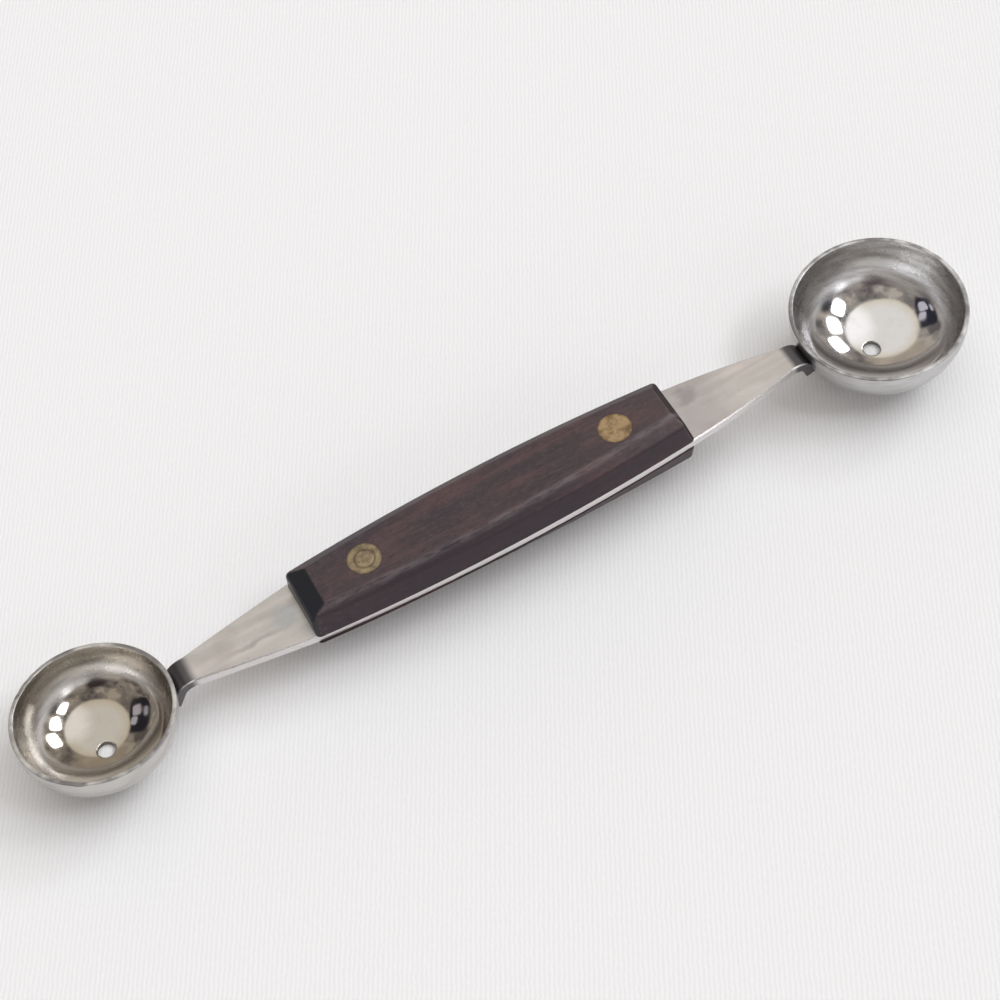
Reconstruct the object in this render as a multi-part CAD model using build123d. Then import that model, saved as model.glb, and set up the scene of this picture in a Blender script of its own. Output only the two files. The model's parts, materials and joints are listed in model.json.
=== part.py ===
from build123d import *
import os
from math import asin, atan2, cos, degrees, pi, radians, sin, tan

# Double-ended melon baller, in millimetres: a steel tang between two riveted rosewood scales,
# with a pressed bowl spot-welded to the tang's tab at each end.
# X runs along the tool towards the large bowl, Y across it and Z up out of the bowls' mouths.
# The pieces are drawn from a datum on the tang's top face, midway between the bowls, and the
# whole tool is then set with the centre of its underside on the origin.

# Bowls: pressed from sheet. A short straight wall under the rim turns through the shoulder into
# the flatter bottom, and the rim's edges are eased.
bowl_spacing = 152.4
bowl_sheet = 0.8
rim_ease = 0.2
large_bowl_diameter = 31.5
large_bowl_depth = 12.8
large_wall_height = 1.4
large_shoulder_radius = 9.5
large_rim_rise = 0.6
large_rim_pitch = 1.1
large_rim_roll = 1.4
small_bowl_diameter = 28.0
small_bowl_depth = 11.6
small_wall_height = 1.2
small_shoulder_radius = 8.8
small_rim_rise = 2.3
small_rim_pitch = 4.6
small_rim_roll = -3.7

# Drain holes, a little off the bowls' axes, as punched
drain_diameter = 3.0
large_drain_x = -0.7
large_drain_y = 0.3
small_drain_x = -0.2
small_drain_y = -0.4

# Handle: the barrel outline that both scales share
handle_length = 73.0
handle_centre_x = -1.5
handle_end_width = 12.5
handle_middle_width = 15.6

# Tang: one flat strip whose ends bend down into the tabs that carry the bowls
tang_stock = 1.9
tang_inset = 0.2
tang_edge_ease = 0.2
tab_width = 5.2
neck_length = 0.6
bend_inner_radius = 1.8
large_weld_drop = 3.0
small_weld_drop = 3.8
tab_below_weld = 1.4
tab_corner_round = 0.6
seat_sink = 0.5
large_arm_bow = 0.4
small_arm_bow = 0.1
small_arm_shift_at_handle = 0.2
small_arm_shift_at_bend = 0.3
large_arm_shift_at_bend = -0.1
edge_corner_round = 2.0

# Scales: a steep wall rises from the tang to the knee, and a bevel goes on to the flat face
scale_thickness = 5.55
knee_height = 4.0
small_end_face_run = 3.5
large_end_face_run = 2.3
scale_edge_round = 0.9
upper_small_end_wall_run = 0.2
upper_large_end_wall_run = 1.0
upper_near_wall_inset = 0.9
upper_far_wall_inset = 0.6
upper_near_inset_small_end = 2.2
upper_near_inset_middle = 2.7
upper_near_inset_large_end = 3.8
upper_far_inset = 2.5
lower_small_end_wall_run = 1.5
lower_large_end_wall_run = 0.1
lower_wall_inset_small_end = 2.5
lower_wall_inset_middle = 2.3
lower_wall_inset_large_end = 1.0
lower_bevel_width = 1.6

# Rivets: a hollow-shanked half from above and a solid half pressed into it from below
small_end_rivet_inset = 12.9
large_end_rivet_inset = 11.9
rivet_head_diameter = 6.0
rivet_head_thickness = 1.2
rivet_shank_diameter = 3.6
rivet_bore_diameter = 2.4
rivet_crown = 0.8
socket_past_tang = 1.5
pin_end_gap = 0.4
hole_clearance = 0.05
pin_clearance = 0.03

# Where the handle's ends and the rivets lie along the tool
handle_small_x = handle_centre_x - handle_length / 2
handle_large_x = handle_centre_x + handle_length / 2
small_end_rivet_x = handle_small_x + small_end_rivet_inset
large_end_rivet_x = handle_large_x - large_end_rivet_inset
rivet_xs = (small_end_rivet_x, large_end_rivet_x)


class Bowl:
    """One bowl, drawn about its rim's centre and then set on the tool at the rim's own tilt."""

    def __init__(self, side, diameter, depth, wall_height, shoulder_radius, rim_rise, tilt, drain):
        self.side = side
        self.reach = diameter / 2
        self.depth = depth
        self.wall_height = wall_height
        self.shoulder_radius = shoulder_radius
        self.rim_rise = rim_rise
        self.tilt = tilt
        self.drain = drain
        # The bottom's arc meets the shoulder's without a corner
        drop = depth - wall_height
        self.shoulder_x = self.reach - shoulder_radius
        room = drop - shoulder_radius
        self.bottom_radius = (self.shoulder_x**2 + drop**2 - shoulder_radius**2) / (2 * room)

    def placed(self, shape):
        return Pos(self.side * bowl_spacing / 2, 0, self.rim_rise) * Rot(*self.tilt, 0) * shape

    def line(self, inset):
        """Wall line from the rim down to the bottom, set in from the outside by inset."""
        shoulder = Vector(self.shoulder_x, -self.wall_height)
        bottom = Vector(0, self.bottom_radius - self.depth)
        turn = atan2(bottom.Y - shoulder.Y, shoulder.X)
        shoulder_radius = self.shoulder_radius - inset
        bottom_radius = self.bottom_radius - inset
        reach = self.reach - inset
        return [
            Line((reach, 0), (reach, shoulder.Y)),
            CenterArc(shoulder, shoulder_radius, 0, -degrees(turn)),
            CenterArc(bottom, bottom_radius, -degrees(turn), degrees(turn) - 90),
        ]

    def solid(self):
        outside = self.line(0)
        inside = self.line(bowl_sheet)
        rim = Line(inside[0] @ 0, outside[0] @ 0)
        bottom = Line(outside[-1] @ 1, inside[-1] @ 1)
        cup = revolve(Plane.XZ * make_face([rim, *outside, bottom, *inside]), Axis.Z)
        cup = chamfer(cup.edges().filter_by(GeomType.CIRCLE).group_by(Axis.Z)[-1], rim_ease)
        hole = Pos(*self.drain, -self.depth) * Cylinder(drain_diameter / 2, self.depth)
        return self.placed(cup - hole)

    def filled(self):
        """The bowl without its hollow, which presses the seat into the tab."""
        outside = self.line(0)
        middle = [Line(outside[-1] @ 1, (0, 0)), Line((0, 0), outside[0] @ 0)]
        return self.placed(revolve(Plane.XZ * make_face(outside + middle), Axis.Z))

    def shoulder_centre(self):
        """The shoulder arc's centre on the tab's side, as if the bowl lay towards +X."""
        pitch = radians(self.tilt[1])
        x = self.shoulder_x * cos(pitch) + self.side * self.wall_height * sin(pitch)
        z = self.side * self.shoulder_x * sin(pitch) - self.wall_height * cos(pitch)
        return Vector(bowl_spacing / 2 - x, self.rim_rise + z)


class Tab:
    """The bent end of the tang that seats on a bowl, drawn as if the bowl lay towards +X."""

    def __init__(self, bowl, weld_drop):
        shoulder = bowl.shoulder_centre()
        self.lean = asin((shoulder.Y + weld_drop) / bowl.shoulder_radius)
        self.facing = Vector(cos(self.lean), sin(self.lean))
        self.down = Vector(sin(self.lean), -cos(self.lean))
        # The bowl curves away from a flat face, so it sinks in until it meets the corners too
        self.weld = shoulder - self.facing * (bowl.shoulder_radius - seat_sink)
        self.turn = pi / 2 - self.lean
        self.outer_radius = bend_inner_radius + tang_stock
        crease_x = self.weld.X + self.weld.Y * tan(self.lean)
        self.bend_x = crease_x - self.outer_radius * tan(self.turn / 2)

    def solid(self, shift):
        """The bend and the tab, moved across the tool by shift."""
        centre = (self.bend_x, -self.outer_radius)
        outer = CenterArc(centre, self.outer_radius, 90, -degrees(self.turn))
        inner = CenterArc(centre, bend_inner_radius, 90, -degrees(self.turn))
        toe = self.weld + self.down * tab_below_weld
        heel = toe - self.facing * tang_stock
        front = [outer, Line(outer @ 1, toe), Line(toe, heel)]
        back = [Line(heel, inner @ 1), inner, Line(inner @ 0, outer @ 0)]
        strip = extrude(Plane.XZ * make_face(front + back), tab_width / 2, both=True)
        through = Axis((0, 0, 0), (self.facing.X, 0, self.facing.Y))
        strip = fillet(strip.edges().filter_by(through), tab_corner_round)
        sides = strip.faces().filter_by(Axis.Y).edges()
        downwards = Axis((0, 0, 0), (self.down.X, 0, self.down.Y))
        rails = sides.filter_by(GeomType.CIRCLE) + sides.filter_by(downwards)
        return Pos(0, shift, 0) * chamfer(rails, tang_edge_ease)


def bowed(start, end, bow):
    """An edge whose middle stands off the straight line by bow, to the left of its direction."""
    start = Vector(*start)
    end = Vector(*end)
    run = (end - start).normalized()
    middle = (start + end) / 2 + Vector(-run.Y, run.X) * bow
    return ThreePointArc(start, middle, end)


def tang_edges(side, small_tab, large_tab):
    """The far (1) or near (-1) edge of the flat strip, from the small bend to the large one."""
    end_y = side * (handle_end_width / 2 - tang_inset)
    middle_y = side * (handle_middle_width / 2 - tang_inset)
    neck_y = side * tab_width / 2
    small_neck = (neck_length - small_tab.bend_x, small_arm_shift_at_bend + neck_y)
    small_end = (handle_small_x, small_arm_shift_at_handle + end_y)
    large_end = (handle_large_x, end_y)
    large_neck = (large_tab.bend_x - neck_length, large_arm_shift_at_bend + neck_y)
    return [
        Line((-small_tab.bend_x, small_arm_shift_at_bend + neck_y), small_neck),
        bowed(small_neck, small_end, side * small_arm_bow),
        ThreePointArc(small_end, (handle_centre_x, middle_y), large_end),
        bowed(large_end, large_neck, side * large_arm_bow),
        Line(large_neck, (large_tab.bend_x, large_arm_shift_at_bend + neck_y)),
    ]


def make_tang(small_bowl, large_bowl):
    """The blanked strip with eased edges, its two tabs, and the seats that the bowls leave."""
    small_tab = Tab(small_bowl, small_weld_drop)
    large_tab = Tab(large_bowl, large_weld_drop)
    far = tang_edges(1, small_tab, large_tab)
    near = tang_edges(-1, small_tab, large_tab)
    ends = [Line(far[0] @ 0, near[0] @ 0), Line(far[-1] @ 1, near[-1] @ 1)]
    blank = make_face(far + near + ends)
    # The line of each edge turns smoothly at the handle's ends and the necks
    corners = [corner for corner in blank.vertices() if -small_tab.bend_x < corner.X < large_tab.bend_x]
    strip = extrude(fillet(corners, edge_corner_round), -tang_stock)
    outlines = strip.faces().filter_by(Axis.Z).edges()
    rails = outlines.filter_by(GeomType.CIRCLE) + outlines.filter_by(Axis.X)
    strip = chamfer(rails, tang_edge_ease)
    strip += large_tab.solid(large_arm_shift_at_bend)
    strip += mirror(small_tab.solid(small_arm_shift_at_bend), Plane.YZ)
    hole = Cylinder(rivet_shank_diameter / 2 + hole_clearance, tang_stock)
    strip -= [Pos(x, 0, -tang_stock / 2) * hole for x in rivet_xs]
    return strip - small_bowl.filled() - large_bowl.filled()


def scale_outline(height, runs, near_insets, far_insets):
    """The barrel outline at one height, drawn in at its ends by the runs, at its sides by the insets."""
    stations = (handle_small_x + runs[0], handle_centre_x, handle_large_x - runs[1])
    widths = (handle_end_width, handle_middle_width, handle_end_width)
    near = [(x, inset - width / 2) for x, width, inset in zip(stations, widths, near_insets)]
    far = [(x, width / 2 - inset) for x, width, inset in zip(stations, widths, far_insets)]
    sides = [ThreePointArc(*near), ThreePointArc(*far)]
    ends = [Line(near[0], far[0]), Line(near[-1], far[-1])]
    return Pos(0, 0, height) * make_face(sides + ends)


def make_scale(wall_runs, wall_near, wall_far, face_near, face_far):
    """A scale that lies on the datum, face up, shaped by hand and step-drilled for the rivets.

    The last four hold how far that line is drawn in at the small end, middle and large end.
    """
    face_runs = (small_end_face_run, large_end_face_run)
    base = scale_outline(0, (0, 0), (0, 0, 0), (0, 0, 0))
    knee = scale_outline(knee_height, wall_runs, wall_near, wall_far)
    face = scale_outline(scale_thickness, face_runs, face_near, face_far)
    blank = loft([base, knee, face], ruled=True)
    against_tang = blank.edges().group_by(Axis.Z)[0]
    blank = fillet(blank.edges() - against_tang, scale_edge_round)
    shank_hole = Cylinder(rivet_shank_diameter / 2 + hole_clearance, scale_thickness)
    blank -= [Pos(x, 0, scale_thickness / 2) * shank_hole for x in rivet_xs]
    head_seat = Cylinder(rivet_head_diameter / 2 + hole_clearance, rivet_head_thickness)
    seat_z = scale_thickness - rivet_head_thickness / 2
    return blank - [Pos(x, 0, seat_z) * head_seat for x in rivet_xs]


def make_upper_scale():
    wall_runs = (upper_small_end_wall_run, upper_large_end_wall_run)
    near_wall = [upper_near_wall_inset] * 3
    far_wall = [upper_far_wall_inset] * 3
    near_face = (
        upper_near_inset_small_end,
        upper_near_inset_middle,
        upper_near_inset_large_end,
    )
    far_face = [upper_far_inset] * 3
    return make_scale(wall_runs, near_wall, far_wall, near_face, far_face)


def make_lower_scale():
    """The scale under the tang, drawn in more than the upper one, except at the large end."""
    wall_runs = (lower_small_end_wall_run, lower_large_end_wall_run)
    wall = (
        lower_wall_inset_small_end,
        lower_wall_inset_middle,
        lower_wall_inset_large_end,
    )
    face = [inset + lower_bevel_width for inset in wall]
    turned_over = mirror(make_scale(wall_runs, wall, wall, face, face), Plane.XY)
    return Pos(0, 0, -tang_stock) * turned_over


def rod(diameter, top, bottom):
    """A round rod between two levels."""
    return Pos(0, 0, (top + bottom) / 2) * Cylinder(diameter / 2, top - bottom)


def make_rivet_socket(x):
    """The upper half: a flush head with a hollow shank that reaches past the tang."""
    head_top = scale_thickness
    shank_end = -tang_stock - socket_past_tang
    head = rod(rivet_head_diameter, head_top, head_top - rivet_head_thickness)
    shank = rod(rivet_shank_diameter, head_top, shank_end)
    bore = rod(rivet_bore_diameter, head_top - rivet_crown, shank_end)
    return Pos(x, 0, 0) * (head + shank - bore)


def make_rivet_pin(x):
    """The lower half: a flush head with a solid pin that fills the upper half's bore."""
    head_bottom = -tang_stock - scale_thickness
    pin_end = scale_thickness - rivet_crown - pin_end_gap
    head = rod(rivet_head_diameter, head_bottom + rivet_head_thickness, head_bottom)
    pin = rod(rivet_bore_diameter - 2 * pin_clearance, pin_end, head_bottom)
    return Pos(x, 0, 0) * (head + pin)


large_bowl = Bowl(
    1,
    large_bowl_diameter,
    large_bowl_depth,
    large_wall_height,
    large_shoulder_radius,
    large_rim_rise,
    (large_rim_roll, large_rim_pitch),
    (large_drain_x, large_drain_y),
)
small_bowl = Bowl(
    -1,
    small_bowl_diameter,
    small_bowl_depth,
    small_wall_height,
    small_shoulder_radius,
    small_rim_rise,
    (small_rim_roll, small_rim_pitch),
    (small_drain_x, small_drain_y),
)

pieces = {
    "tang": make_tang(small_bowl, large_bowl),
    "large_bowl": large_bowl.solid(),
    "small_bowl": small_bowl.solid(),
    "upper_scale": make_upper_scale(),
    "lower_scale": make_lower_scale(),
    "rivet_socket_large_end": make_rivet_socket(large_end_rivet_x),
    "rivet_socket_small_end": make_rivet_socket(small_end_rivet_x),
    "rivet_pin_large_end": make_rivet_pin(large_end_rivet_x),
    "rivet_pin_small_end": make_rivet_pin(small_end_rivet_x),
}

# Only the bowls reach the tool's ends, sides and underside, so their box places the origin
extent = Compound([pieces["large_bowl"].solid(), pieces["small_bowl"].solid()]).bounding_box()
to_origin = Pos(-extent.center().X, -extent.center().Y, -extent.min.Z)

os.makedirs("parts", exist_ok=True)
for name, piece in pieces.items():
    export_step(to_origin * piece.solid(), f"parts/{name}.step")
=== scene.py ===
import json
from math import asin, atan2, cos, pi, radians, remainder, sin, sqrt

import bmesh
import bpy
from mathutils import Matrix, Vector

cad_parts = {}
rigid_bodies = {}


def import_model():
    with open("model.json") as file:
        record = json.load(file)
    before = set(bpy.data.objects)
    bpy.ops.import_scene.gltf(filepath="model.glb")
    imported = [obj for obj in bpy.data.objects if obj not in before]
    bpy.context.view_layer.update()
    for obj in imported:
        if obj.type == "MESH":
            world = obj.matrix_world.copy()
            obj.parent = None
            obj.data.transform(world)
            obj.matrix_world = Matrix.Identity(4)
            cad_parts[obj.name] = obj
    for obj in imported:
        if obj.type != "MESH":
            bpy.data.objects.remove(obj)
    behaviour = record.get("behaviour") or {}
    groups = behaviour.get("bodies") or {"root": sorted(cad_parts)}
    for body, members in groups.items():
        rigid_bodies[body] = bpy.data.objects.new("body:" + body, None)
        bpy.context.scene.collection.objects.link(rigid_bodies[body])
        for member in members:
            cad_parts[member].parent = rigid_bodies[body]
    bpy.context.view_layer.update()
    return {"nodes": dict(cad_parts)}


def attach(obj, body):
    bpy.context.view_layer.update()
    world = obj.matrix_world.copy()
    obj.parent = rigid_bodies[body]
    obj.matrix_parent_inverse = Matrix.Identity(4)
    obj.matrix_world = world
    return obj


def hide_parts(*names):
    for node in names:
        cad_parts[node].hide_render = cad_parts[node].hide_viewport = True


for leftover in list(bpy.data.objects):
    bpy.data.objects.remove(leftover)
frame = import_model()
nodes = frame["nodes"]


# Tang: one strip of stainless steel that runs the whole length of the handle and carries both
# bowls. It is blanked, its edges are eased, and its ends are bent down into the bowls' tabs.
# It was satin finished along its length, and has grey marks of use; its bends are painted dark as shade.

class Wired:
    """A number on a socket: sums written with it add Math nodes."""

    def __init__(self, shading, socket):
        self.shading = shading
        self.socket = socket

    def math(self, operation, *others):
        sockets = dict(enumerate((self, *others)))
        return Wired(self.shading, self.shading.node("Math", {"operation": operation}, sockets).outputs[0])

    def __add__(self, other):
        return self.math("ADD", other)

    def __sub__(self, other):
        return self.math("SUBTRACT", other)

    def __rsub__(self, other):
        return (self * -1) + other

    def __mul__(self, other):
        return self.math("MULTIPLY", other)

    def __pow__(self, other):
        return self.math("POWER", other)

    __radd__ = __add__
    __rmul__ = __mul__

    def above(self, low, high):
        """0 where this is under low, 1 where it is over high, and a smooth step between."""
        made = self.shading.node(
            "MapRange",
            {"interpolation_type": "SMOOTHSTEP"},
            {"Value": self, "From Min": low, "From Max": high},
        )
        return Wired(self.shading, made.outputs[0])

    def below(self, low, high):
        return 1 - self.above(low, high)

    def near(self, value, width):
        """1 at this value and 0 at more than width from it."""
        return (self - value).math("ABSOLUTE").below(0, width)


class Shading:
    """The nodes of one finish, or of the room's light."""

    def __init__(self, tree):
        self.tree = tree

    def node(self, kind, settings=None, sockets=None):
        """Adds a node: its settings first, then the values and links of its sockets."""
        made = self.tree.nodes.new("ShaderNode" + kind)
        for name, value in (settings or {}).items():
            setattr(made, name, value)
        for name, value in (sockets or {}).items():
            self.feed(made.inputs[name], value)
        return made

    def feed(self, socket, value):
        """Links a socket to what makes its value, or sets it."""
        if isinstance(value, Wired):
            value = value.socket
        if isinstance(value, bpy.types.NodeSocket):
            self.tree.links.new(value, socket)
        elif isinstance(value, tuple) and socket.type == "RGBA":
            socket.default_value = (*value, 1)
        else:
            socket.default_value = value

    def number(self, kind, settings=None, sockets=None, output=0):
        return Wired(self, self.node(kind, settings, sockets).outputs[output])

    def stretched(self, place, scales, turn=(0, 0, 0)):
        """The place in millimetres, stretched by one scale for each direction."""
        settings = {"Vector": place, "Scale": scales, "Rotation": turn}
        return self.node("Mapping", None, settings).outputs[0]

    def noise(self, place, scales, detail, roughness, turn=(0, 0, 0)):
        """Smooth noise about 0.5 whose grains are 1/scale millimetres long each way."""
        sockets = {
            "Vector": self.stretched(place, scales, turn),
            "Scale": 1.0,
            "Detail": detail,
            "Roughness": roughness,
        }
        return self.number("TexNoise", None, sockets)

    def mix(self, share, first, second):
        """The first colour, with this share of the second one."""
        settings = {"data_type": "RGBA", "clamp_factor": True}
        return self.node("Mix", settings, {0: share, 6: first, 7: second}).outputs[2]

    def millimetres(self):
        """The place on the piece, in millimetres of the shared frame."""
        here = self.node("TexCoord").outputs["Object"]
        return self.node("VectorMath", {"operation": "SCALE"}, {0: here, "Scale": 1000.0}).outputs[0]

    def parts(self, vector):
        """Its three numbers."""
        split = self.node("SeparateXYZ", None, {0: vector})
        return [Wired(self, output) for output in split.outputs]

    def facing(self):
        """How far the surface faces along each axis, from -1 to 1."""
        return self.parts(self.node("NewGeometry").outputs["True Normal"])

    def distance(self, place, point):
        return self.number("VectorMath", {"operation": "DISTANCE"}, {0: place, 1: point}, "Value")

    def bump(self, height, strength, depth):
        """A height from 0 to 1 as relief of this depth in millimetres."""
        sockets = {"Height": height, "Strength": strength, "Distance": depth / 1000}
        return self.node("Bump", None, sockets).outputs[0]


class Finish(Shading):
    """One piece's material. A constant's name is its socket's, with _ for each space."""

    def __init__(self, name, metallic, **constants):
        self.material = bpy.data.materials.new(name)
        self.material.use_nodes = True
        super().__init__(self.material.node_tree)
        self.shader = self.tree.nodes["Principled BSDF"]
        self.shader.inputs["Metallic"].default_value = metallic
        for name, value in constants.items():
            self.shader.inputs[name.replace("_", " ")].default_value = value

    def show(self, colour, roughness, normal):
        self.feed(self.shader.inputs["Base Color"], colour)
        self.feed(self.shader.inputs["Roughness"], roughness)
        self.feed(self.shader.inputs["Normal"], normal)

    def put_on(self, *pieces):
        for piece in pieces:
            piece.data.materials.clear()
            piece.data.materials.append(self.material)


# Where along the strip its bends, painted dark as shade, begin and end.
large_bend = (55.8, 57.2)
small_bend = (-60.8, -59.0)
grey_spot_place = (37.4, 2.4, 12.2)
blue_patch_place = (-41.9, 0.4, 12.2)
scrape_x = -48.5
handled_x = 36.5
edge_tilt = 0.71


def satin_steel():
    finish = Finish("satin_steel", 1.0)
    place = finish.millimetres()
    along, across, _ = finish.parts(place)
    _, face_y, face_z = finish.facing()
    grain = finish.noise(place, (0.12, 9.0, 9.0), 3.0, 0.6)
    clouds = finish.noise(place, (0.16, 0.22, 0.22), 3.0, 0.55)
    tint = finish.noise(place, (0.11, 0.3, 0.3), 2.0, 0.5)
    smear = finish.noise(place, (0.05, 0.55, 0.3), 2.0, 0.5)
    spots = finish.noise(place, (1.1, 1.3, 1.3), 2.0, 0.6).above(0.66, 0.78)
    cut_edge = face_z.math("ABSOLUTE").below(0.35, 0.8)
    marks = (clouds.above(0.35, 0.7) * 0.5 + smear.above(0.4, 0.62) * 0.5) * 0.9
    # Painted shade on the bends at both ends.
    painted_shade_bends = along.above(*large_bend) + along.below(*small_bend)
    wander = finish.noise(place, (0.22, 0.3, 0.3), 3.0, 0.6) - 0.5
    scrape = (across + 1.2 + wander * 2.2).near(0, 0.8) * along.near(scrape_x, 8.0)
    grey_spot = (finish.distance(place, grey_spot_place) + wander * 5).below(0.8, 2.4)
    blue_patch = (finish.distance(place, blue_patch_place) + wander * 4).below(1.2, 3.4)
    handled = (along + wander * 9).near(handled_x, 9.0)
    colour = finish.mix(marks, (0.585, 0.535, 0.51), (0.44, 0.40, 0.38))
    colour = finish.mix(tint.above(0.38, 0.62) * 0.4, colour, (0.48, 0.48, 0.455))
    colour = finish.mix(blue_patch * 0.6, colour, (0.36, 0.385, 0.40))
    colour = finish.mix(handled * 0.65, colour, (0.38, 0.345, 0.345))
    colour = finish.mix(scrape * 0.6, colour, (0.29, 0.26, 0.25))
    colour = finish.mix(spots * 0.3 + grey_spot * 0.5, colour, (0.24, 0.23, 0.225))
    colour = finish.mix(cut_edge * 0.75, colour, (0.86, 0.83, 0.83))
    # Painted shade: the bends are coloured near black.
    colour = finish.mix(painted_shade_bends * 0.88, colour, (0.055, 0.05, 0.058))
    eased = face_z.near(edge_tilt, 0.2)
    near_edge_painted_highlight = eased * face_y.below(-0.6, -0.4)
    far_edge_painted_shade = eased * face_y.above(0.4, 0.6)
    # Painted highlight along the near eased edge.
    colour = finish.mix(near_edge_painted_highlight * 0.8, colour, (0.88, 0.86, 0.85))
    # Painted shade along the far eased edge, standing in for a dark reflection.
    colour = finish.mix(far_edge_painted_shade * 0.6, colour, (0.15, 0.145, 0.13))
    roughness = 0.30 + marks * 0.12 + (grain - 0.5) * 0.16 - cut_edge * 0.05 - near_edge_painted_highlight * 0.08
    finish.show(colour, roughness, finish.bump(grain, 0.35, 0.02))
    return finish


satin_steel().put_on(nodes["tang"])


# Bowls: pressed from sheet steel, with a drain hole punched near the axis, and spot-welded to the
# tabs. They are polished at the bottom and brushed dull along the walls. Their rims are ground
# level, with a few nicks, most of them in the small bowl's. Painted shade darkens the rims' tops,
# unevenly, and the bores of the drain holes.

# Where the bowls' and rivets' own measures start, in millimetres of the shared frame.
origin_shift = Vector((-0.831885, -0.02096, 12.2034))
bowl_spread = 76.2
bowl_sheet = 0.8
rim_round = 0.2
drain_radius = 1.5
drain_round = 0.12
nick_reach = 1.0
# The bottom's points go round the drain hole up to here, and round the axis from here on.
blend_reach = 5.0
blend_steps = 13
bottom_steps = 22
shoulder_steps = 36
wall_steps = 3
round_steps = 5
turn_steps = 240


class PressedBowl:
    """A bowl's profile, its rim's place and tilt, and its drain hole, in millimetres and degrees.
    Each nick is its place round the rim, half its width and its depth."""

    def __init__(self, side, diameter, depth, wall, shoulder, rim_rise, roll, pitch, drain, nicks):
        self.reach = diameter / 2
        self.depth = depth
        self.wall = wall
        self.shoulder = shoulder
        self.shoulder_x = self.reach - shoulder
        drop = depth - wall
        self.bottom = (self.shoulder_x**2 + drop**2 - shoulder**2) / (2 * (drop - shoulder))
        self.bottom_z = self.bottom - depth
        self.turn = atan2(self.bottom_z + wall, self.shoulder_x)
        self.place = Vector((side * bowl_spread, 0, rim_rise)) + origin_shift
        self.tilt = Matrix.Rotation(radians(roll), 3, "X") @ Matrix.Rotation(radians(pitch), 3, "Y")
        self.drain = drain
        self.nicks = nicks

    def on_bottom(self, inset, x, y):
        """The point of the bottom's arc over this place, inset from the outside by part of the sheet."""
        return Vector((x, y, self.bottom_z - sqrt((self.bottom - inset) ** 2 - x**2 - y**2)))

    def round_hole(self, inset, angle, reach):
        """The point of the bottom at this angle and reach from the drain hole's middle."""
        x = self.drain[0] + reach * cos(angle)
        y = self.drain[1] + reach * sin(angle)
        return self.on_bottom(inset, x, y)

    def side_line(self, inset, angle):
        """One wall of the bowl at this angle, from the drain hole up to the rim's rounding."""
        points = []
        start = self.round_hole(inset, angle, drain_radius + drain_round)
        for step in range(blend_steps):
            share = step / blend_steps
            x = start.x * (1 - share) + blend_reach * cos(angle) * share
            y = start.y * (1 - share) + blend_reach * sin(angle) * share
            points.append(self.on_bottom(inset, x, y))
        profile = []
        radius = self.bottom - inset
        low = asin(blend_reach / radius)
        high = pi / 2 - self.turn
        for step in range(bottom_steps + 1):
            bend = low + (high - low) * step / bottom_steps
            profile.append((radius * sin(bend), self.bottom_z - radius * cos(bend)))
        for step in range(1, shoulder_steps + 1):
            bend = self.turn * (1 - step / shoulder_steps)
            reach = self.shoulder_x + (self.shoulder - inset) * cos(bend)
            profile.append((reach, -self.wall - (self.shoulder - inset) * sin(bend)))
        for step in range(1, wall_steps + 1):
            share = step / wall_steps
            profile.append((self.reach - inset, -self.wall * (1 - share) - rim_round * share))
        return points + [Vector((r * cos(angle), r * sin(angle), z)) for r, z in profile]

    def rim_line(self, angle):
        """Over the rim, from the outer wall to the inner one."""
        line = []
        corners = ((self.reach - rim_round, 0), (self.reach - bowl_sheet + rim_round, pi / 2))
        for corner, start in corners:
            for step in range(round_steps + 1):
                bend = start + step / round_steps * pi / 2
                reach = corner + rim_round * cos(bend)
                level = rim_round * (sin(bend) - 1)
                line.append(Vector((reach * cos(angle), reach * sin(angle), level)))
        return line[1:-1]

    def hole_line(self, angle):
        """Down the drain hole, from the inner wall to the outer one."""
        top = self.round_hole(bowl_sheet, angle, drain_radius)
        bottom = self.round_hole(0, angle, drain_radius)
        levels = (top.z - drain_round, (top.z + bottom.z) / 2, bottom.z + drain_round)
        return [Vector((top.x, top.y, level)) for level in levels]

    def worn(self, point, angle):
        """The point, lowered where it is in one of the rim's nicks and no deeper than they reach."""
        loss = 0
        for place, half_width, depth in self.nicks:
            off = remainder(angle - radians(place), 2 * pi) / radians(half_width)
            loss += depth * max(0, 1 - off**2)
        return point - Vector((0, 0, loss * max(0, 1 + point.z / nick_reach)))

    def mesh(self, name):
        """The bowl as one closed skin, inside and outside, in metres."""
        work = bmesh.new()
        lines = []
        for step in range(turn_steps):
            angle = step / turn_steps * 2 * pi
            outer = self.side_line(0, angle)
            inner = self.side_line(bowl_sheet, angle)
            line = outer + self.rim_line(angle) + inner[::-1] + self.hole_line(angle)
            placed = [self.place + self.tilt @ self.worn(point, angle) for point in line]
            lines.append([work.verts.new(point / 1000) for point in placed])
        for line, following in zip(lines, lines[1:] + lines[:1]):
            for i in range(len(line)):
                j = (i + 1) % len(line)
                work.faces.new((line[i], following[i], following[j], line[j])).smooth = True
        bmesh.ops.recalc_face_normals(work, faces=work.faces)
        made = bpy.data.meshes.new(name)
        work.to_mesh(made)
        work.free()
        piece = bpy.data.objects.new(name, made)
        bpy.context.scene.collection.objects.link(piece)
        return piece


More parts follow.
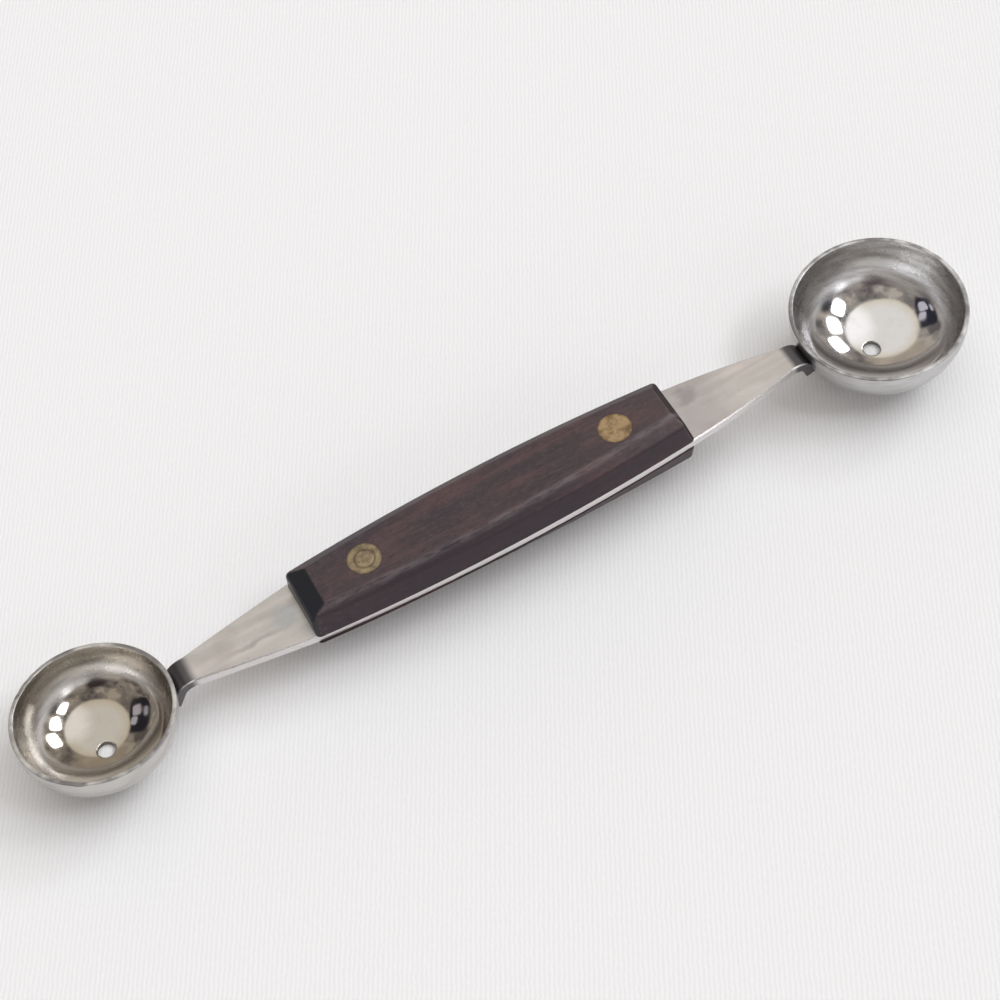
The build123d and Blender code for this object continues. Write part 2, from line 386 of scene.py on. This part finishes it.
def polished_steel(name, bowl, weld, bottom_colour, wall_colour):
    finish = Finish(name, 1.0)
    place = finish.millimetres()
    dents = finish.noise(place, (0.22, 0.22, 0.22), 1.0, 0.4)
    haze = finish.noise(place, (0.35, 0.35, 0.35), 3.0, 0.6)
    from_rim = finish.node("VectorMath", {"operation": "SUBTRACT"}, {0: place, 1: tuple(bowl.place)})
    side_x, side_y, level = finish.parts(from_rim.outputs[0])
    face_x, face_y, face_z = finish.facing()
    outside = (side_x * face_x + side_y * face_y - face_z * 4).above(0.0, 4.0)
    reach = (side_x * side_x + side_y * side_y).math("SQRT")
    sockets = {0: reach * 1.1 + side_x * 0.16, 1: side_y * 0.16, 2: level * 0.8}
    rings = finish.node("CombineXYZ", None, sockets).outputs[0]
    brushed = finish.number("TexNoise", None, {"Vector": rings, "Scale": 1.0, "Detail": 2.0})
    wall = reach.above(bowl.reach * 0.70, bowl.reach * 0.80)
    inner_reach = bowl.reach - bowl_sheet
    rim = reach.above(inner_reach - 0.1, inner_reach + 0.15) * face_z.above(0.1, 0.5)
    # This noise leaves patches where the rims' painted shade is weaker.
    rim_shade_gaps = finish.noise(place, (0.16, 0.16, 0.16), 3.0, 0.6).above(0.42, 0.66)
    hole = bowl.place + bowl.tilt @ Vector((*bowl.drain, bowl_sheet / 2 - bowl.depth))
    drain_bore_painted_shade = finish.distance(place, tuple(hole)).below(drain_radius + 0.06, drain_radius + 0.16)
    hazed_colour = tuple(part * 0.8 for part in bottom_colour)
    colour = finish.mix(haze.above(0.45, 0.8) * 0.4, bottom_colour, hazed_colour)
    colour = finish.mix(wall * 0.8, colour, wall_colour)
    colour = finish.mix(wall * brushed.above(0.42, 0.68) * 0.6, colour, (0.42, 0.40, 0.385))
    colour = finish.mix(outside * 0.5, colour, (0.48, 0.47, 0.46))
    # Painted shade: the rims' tops are darkened, less in noisy patches.
    colour = finish.mix(rim * (0.9 - rim_shade_gaps * 0.7), colour, (0.16, 0.15, 0.15))
    # Painted shade inside the drain hole's bore.
    colour = finish.mix(drain_bore_painted_shade * 0.75, colour, (0.07, 0.065, 0.06))
    roughness = 0.06 + haze.above(0.4, 0.8) * 0.07 + wall * 0.2 + outside * 0.05 + rim * 0.06
    dimple = finish.distance(place, tuple(weld)).below(0.1, 0.7)
    height = dents + brushed * wall * 0.08 - dimple * 3.0
    finish.show(colour, roughness, finish.bump(height, 0.5, 0.04))
    return finish


large = PressedBowl(
    side=1,
    diameter=31.5,
    depth=12.8,
    wall=1.4,
    shoulder=9.5,
    rim_rise=0.6,
    roll=1.4,
    pitch=1.1,
    drain=(-0.7, 0.3),
    nicks=((-62, 4, 0.08), (20, 5, 0.07)),
)
small = PressedBowl(
    side=-1,
    diameter=28.0,
    depth=11.6,
    wall=1.2,
    shoulder=8.8,
    rim_rise=2.3,
    roll=-3.7,
    pitch=4.6,
    drain=(-0.2, -0.4),
    nicks=(
        (168, 8, 0.26),
        (157, 4, 0.16),
        (-120, 5, 0.2),
        (132, 4, 0.14),
        (121, 3, 0.16),
        (112, 5, 0.1),
    ),
)
# Each bowl's weld, measured from there too, and the colours of its bottom and of its walls.
bowls = (
    ("large_bowl", large, (61.6, 0.0, -2.9), (0.62, 0.605, 0.59), (0.77, 0.77, 0.78)),
    ("small_bowl", small, (-64.4, 0.1, -3.6), (0.455, 0.415, 0.36), (0.80, 0.785, 0.765)),
)
for name, bowl, weld, bottom_colour, wall_colour in bowls:
    piece = bowl.mesh(name + "_pressed")
    weld_place = Vector(weld) + origin_shift
    polished_steel(name + "_steel", bowl, weld_place, bottom_colour, wall_colour).put_on(piece)
    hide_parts(name)
    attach(piece, "root")


# Scales: the two halves of the handle, sawn from dark rosewood, bevelled by hand and riveted
# through the tang. A highlight is painted along the ridge, painted shade darkens the bevels and
# side walls, and the end grain has turned black.

# The ridge's painted highlight runs in a curve: its middle and reach along the handle, and its
# place across.
ridge_middle = -2.33
ridge_reach = 36.5
ridge_across = -5.1
ridge_slope = 0.8
ridge_bend = 1.85


def rosewood():
    finish = Finish("rosewood", 0.0, Specular_IOR_Level=0.34)
    place = finish.millimetres()
    along, across, height = finish.parts(place)
    face_x, _, face_z = finish.facing()
    warp = finish.noise(place, (0.03, 0.12, 0.12), 2.0, 0.5)
    clouds = finish.noise(place, (0.055, 0.24, 0.24), 3.0, 0.55, (0, 0, radians(4)))
    bands = finish.noise(place, (0.016, 0.75, 0.7), 3.0, 0.6, (0, 0, radians(2)))
    streaks = finish.noise(place, (0.06, 3.2, 2.8), 4.0, 0.65, (0, 0, radians(1.5)))
    pores = finish.noise(place, (0.45, 6.0, 5.0), 2.0, 0.5, (0, 0, radians(1.5)))
    dashes = pores.above(0.62, 0.74)
    dust = finish.noise(place, (2.2, 4.2, 4.2), 2.0, 0.5).above(0.64, 0.76)
    red = (clouds * 0.65 + bands * 0.35).above(0.44, 0.60)
    red = red * (0.75 + along.above(-10, 30) * 0.35)
    mottle = finish.noise(place, (0.9, 2.0, 2.0), 4.0, 0.7)
    colour = finish.mix(red, (0.046, 0.031, 0.037), (0.098, 0.049, 0.050))
    colour = finish.mix(along.above(5, 34) * 0.3, colour, (0.110, 0.068, 0.068))
    colour = finish.mix(mottle.above(0.48, 0.66) * 0.4, colour, (0.100, 0.070, 0.074))
    colour = finish.mix(mottle.below(0.36, 0.48) * 0.4, colour, (0.026, 0.017, 0.020))
    colour = finish.mix(streaks.above(0.40, 0.72) * 0.3, colour, (0.068, 0.048, 0.053))
    colour = finish.mix(streaks.below(0.28, 0.46) * 0.35, colour, (0.024, 0.017, 0.020))
    colour = finish.mix(dashes * 0.6, colour, (0.016, 0.012, 0.013))
    colour = finish.mix(dust * 0.35, colour, (0.16, 0.13, 0.125))
    side = face_z.below(0.70, 0.90) * (1 - face_x.math("ABSOLUTE").above(0.2, 0.5))
    # Painted shade: the bevels and side walls are darker than the top.
    colour = finish.mix(side * 0.72, colour, (0.023, 0.013, 0.021))
    ragged = finish.noise(place, (0.9, 1.6, 1.6), 3.0, 0.6)
    small_end = (face_x + (ragged - 0.5) * 0.22).below(-0.30, -0.20)
    large_end = face_x.above(0.35, 0.55)
    colour = finish.mix(small_end, colour, (0.016, 0.0165, 0.021))
    colour = finish.mix(large_end * 0.85, colour, (0.016, 0.011, 0.013))
    share = (along - ridge_middle) * (1 / ridge_reach)
    ridge_line = share * ridge_slope + share * share * ridge_bend + ridge_across
    ridge_painted_highlight = (across - ridge_line + 0.2).near(0, 0.9) * height.above(14.5, 16.0) * (1 - small_end)
    # This noise breaks the ridge's painted highlight into streaks.
    worn = finish.noise(place, (0.25, 1.4, 1.4), 4.0, 0.7).above(0.30, 0.65)
    # Painted highlight along the ridge.
    colour = finish.mix(ridge_painted_highlight * worn * 0.48, colour, (0.20, 0.17, 0.175))
    chipped = face_x.near(0.32, 0.2) + face_x.near(-0.14, 0.1)
    colour = finish.mix(chipped * ragged.above(0.5, 0.7) * 0.5, colour, (0.20, 0.155, 0.15))
    roughness = 0.46 + (streaks - 0.5) * 0.2 + dashes * 0.2 - small_end * 0.14 + large_end * 0.4
    relief = streaks * 0.3 - dashes * 0.8 + warp * 0.3 + ragged * 0.1 + mottle * 0.25
    finish.show(colour, roughness, finish.bump(relief, 0.45, 0.05))
    return finish


rosewood().put_on(nodes["upper_scale"], nodes["lower_scale"])


# Rivets: two cutlery rivets of brass, each a hollow-shanked half and a pin pressed into it.
# Their heads were filed flush with the wood, and are scratched and dulled by the years.

rivet_places = {"small_end": -25.932, "large_end": 22.268}
head_radius = 3.0
pin_groove = 1.75


def rivet_brass(name, x, colours, ring):
    finish = Finish(name, 1.0)
    place = finish.millimetres()
    flat = finish.node("VectorMath", {"operation": "MULTIPLY"}, {0: place, 1: (1, 1, 0)}).outputs[0]
    reach = finish.distance(flat, (x, origin_shift.y, 0))
    blotches = finish.noise(place, (0.5, 0.5, 0.5), 4.0, 0.65)
    specks = finish.noise(place, (3.6, 3.6, 3.6), 2.0, 0.5).above(0.66, 0.76)
    filing = finish.noise(place, (0.6, 12.0, 12.0), 3.0, 0.6, (0, 0, radians(24)))
    edge = reach.above(head_radius - 0.45, head_radius)
    groove = reach.near(pin_groove, 0.35) * ring
    stains = finish.noise(place, (0.55, 0.55, 0.55), 3.0, 0.6).above(0.52, 0.68)
    colour = finish.mix(blotches.above(0.4, 0.65), colours[0], colours[1])
    colour = finish.mix(stains * 0.45 + filing.above(0.60, 0.72) * 0.35, colour, (0.09, 0.07, 0.045))
    colour = finish.mix(specks * 0.6 + edge * 0.5 + groove * 0.6, colour, (0.09, 0.07, 0.05))
    roughness = 0.36 + blotches * 0.14 + specks * 0.2
    height = filing * 0.5 - groove * 1.5 - edge * 0.8
    finish.show(colour, roughness, finish.bump(height, 0.6, 0.05))
    return finish


dull_brass = ((0.34, 0.265, 0.165), (0.17, 0.135, 0.095))
bright_brass = ((0.40, 0.285, 0.16), (0.235, 0.16, 0.09))
for end, colours, ring in (("small_end", dull_brass, 1.0), ("large_end", bright_brass, 0.0)):
    finish = rivet_brass("brass_" + end, rivet_places[end], colours, ring)
    finish.put_on(nodes["rivet_socket_" + end], nodes["rivet_pin_" + end])


# Floor: a pale cloth with fine ribs. It leans a little, because the tool rests on both bowls and
# the small one is shallower.

# The cloth's half width and its rise are in metres, and its lean is in degrees.
cloth_half = 1.5
cloth_rise = 0.00141
cloth_lean = 1.09
rib_turn = (0, 0, radians(28))
rib_scale = 0.41


def ribbed_cloth():
    finish = Finish("pale_ribbed_cloth", 0.0, Specular_IOR_Level=0.1)
    place = finish.millimetres()
    turned = finish.stretched(place, (1, 1, 1), rib_turn)
    sockets = {"Vector": turned, "Scale": rib_scale, "Distortion": 2.4, "Detail": 2.0}
    ribs = finish.number("TexWave", {"wave_type": "BANDS", "bands_direction": "X"}, sockets)
    fluff = finish.noise(place, (1.5, 1.2, 1.5), 3.0, 0.7).above(0.60, 0.75)
    weave = finish.noise(place, (2.6, 0.9, 1.0), 3.0, 0.7, rib_turn)
    threads = ribs * 0.45 + weave * 0.55
    colour = finish.mix(threads, (0.83, 0.83, 0.836), (0.965, 0.965, 0.971))
    colour = finish.mix(fluff * 0.5, colour, (0.97, 0.97, 0.975))
    finish.show(colour, 0.9, finish.bump(threads + fluff * 0.4, 0.24, 0.12))
    return finish


work = bmesh.new()
bmesh.ops.create_grid(work, x_segments=1, y_segments=1, size=cloth_half)
cloth = bpy.data.meshes.new("cloth")
work.to_mesh(cloth)
work.free()
floor = bpy.data.objects.new("floor", cloth)
bpy.context.scene.collection.objects.link(floor)
floor.rotation_euler = (0, radians(cloth_lean), 0)
floor.location = (0, 0, cloth_rise)
ribbed_cloth().put_on(floor)


# Room: a pale ceiling over mottled darker walls, which shows in the bowls' polished bottoms. Three
# windows towards the large bowl light the tool and show as bright spots in both bowls. Opposite
# them stands a dark window frame, and two low windows on the near side brighten the strip's edge.

def towards(azimuth, elevation):
    """The direction at these angles in degrees."""
    flat = cos(radians(elevation))
    return (flat * cos(radians(azimuth)), flat * sin(radians(azimuth)), sin(radians(elevation)))


world = bpy.data.worlds.new("room")
world.use_nodes = True
bpy.context.scene.world = world
room = Shading(world.node_tree)
direction = room.node("TexCoord").outputs["Generated"]
rise = room.parts(direction)[2]


def patch(azimuth, elevation, inner, outer):
    """A round patch of the room, whole up to inner degrees from its middle and gone at outer."""
    sockets = {0: direction, 1: towards(azimuth, elevation)}
    closeness = room.number("VectorMath", {"operation": "DOT_PRODUCT"}, sockets, "Value")
    return closeness.above(cos(radians(outer)), cos(radians(inner)))


# How square a pane's corners are: 2 would be an ellipse.
corner_power = 4


def pane(azimuth, elevation, half_width, half_height):
    """A window pane of the room, with its half sizes in degrees."""
    turn = radians(azimuth)
    lift = radians(elevation)
    sideways = (-sin(turn), cos(turn), 0)
    upwards = (-cos(turn) * sin(lift), -sin(turn) * sin(lift), cos(lift))
    spread = 0
    for axis, half in ((sideways, half_width), (upwards, half_height)):
        sockets = {0: direction, 1: axis}
        across = room.number("VectorMath", {"operation": "DOT_PRODUCT"}, sockets, "Value")
        spread = spread + (across.math("ABSOLUTE") * (1 / sin(radians(half)))) ** corner_power
    # The two axes alone would put a second pane in the wall behind.
    this_side = patch(azimuth, elevation, 30, 40)
    return spread.below(0.6, 1.5) * this_side


ceiling_middle = (65, 75)
# Each of these panes is its azimuth, elevation and half sizes, in degrees.
frame_panes = ((151, 47, 5, 5), (136, 49, 4, 3.5), (146, 36, 4, 2.5))
low_windows = ((-68, 31, (3.0, 3.0, 3.1)), (-93, 30, (1.2, 1.2, 1.2)))
low_window_half = (7, 5)
bright_windows = ((-37, 49), (-9, 43.5), (15, 36))
bright_window_half = (7.6, 6.2)
window_light = (9.2, 9.4, 9.7)
wall_tone = room.noise(direction, (2.2, 2.2, 3.0), 2.0, 0.5)
things = room.noise(direction, (4.5, 4.5, 3.0), 3.0, 0.6)
walls = room.mix(wall_tone.above(0.3, 0.7), (0.27, 0.25, 0.245), (0.50, 0.46, 0.42))
walls = room.mix(things.above(0.53, 0.62) * 0.8, walls, (0.68, 0.62, 0.54))
walls = room.mix(things.below(0.38, 0.46) * 0.7, walls, (0.10, 0.09, 0.095))
colour = room.mix(patch(75, 36, 10, 30) * 0.8, walls, (0.58, 0.50, 0.41))
colour = room.mix(patch(-112, 41, 8, 16), colour, (0.07, 0.055, 0.06))
colour = room.mix(patch(-35, 33, 6, 12), colour, (0.05, 0.05, 0.065))
colour = room.mix(pane(143, 43, 17, 13), colour, (0.035, 0.035, 0.05))
for place_and_size in frame_panes:
    colour = room.mix(pane(*place_and_size), colour, (0.72, 0.70, 0.82))
ceiling = room.mix(patch(*ceiling_middle, 22, 34), (0.98, 0.91, 0.78), (1.08, 1.07, 1.05))
ceiling = room.mix(patch(-10, 58, 8, 30), ceiling, (1.5, 1.5, 1.52))
colour = room.mix(patch(*ceiling_middle, 32, 35.5), colour, ceiling)
colour = room.mix(rise.below(0.30, 0.42), colour, (0.80, 0.79, 0.795))
for azimuth, elevation, light in low_windows:
    colour = room.mix(pane(azimuth, elevation, *low_window_half), colour, light)
for azimuth, elevation in bright_windows:
    colour = room.mix(pane(azimuth, elevation, *bright_window_half), colour, window_light)
background = world.node_tree.nodes["Background"]
room.feed(background.inputs["Color"], colour)


# Camera: where the photograph was taken from, above the near side, turned a little and held
# askew. Its place and lens were fitted to the tool's outlines.

camera_height = radians(56.21)
camera_turn = radians(-17.32)
camera_roll = radians(-13.04)
camera_reach = 405.99
aim_right = -0.024
aim_up = 1.35
fitted_scale = 0.952
focal_length = 81.64
back = Vector(
    (sin(camera_turn) * cos(camera_height), -cos(camera_turn) * cos(camera_height), sin(camera_height))
)
right = Vector((cos(camera_turn), sin(camera_turn), 0))
up = back.cross(right)
picture_right = cos(camera_roll) * right + sin(camera_roll) * up
picture_up = -sin(camera_roll) * right + cos(camera_roll) * up
aim = picture_right * aim_right + picture_up * aim_up
stand = (back * camera_reach + aim) * fitted_scale + origin_shift
lens = bpy.data.cameras.new("camera")
lens.lens = focal_length
lens.sensor_width = 36
camera = bpy.data.objects.new("camera", lens)
bpy.context.scene.collection.objects.link(camera)
turned = Matrix((picture_right, picture_up, back)).transposed().to_4x4()
camera.matrix_world = Matrix.Translation(stand / 1000) @ turned
bpy.context.scene.camera = camera
bpy.context.scene.view_settings.view_transform = "Standard"
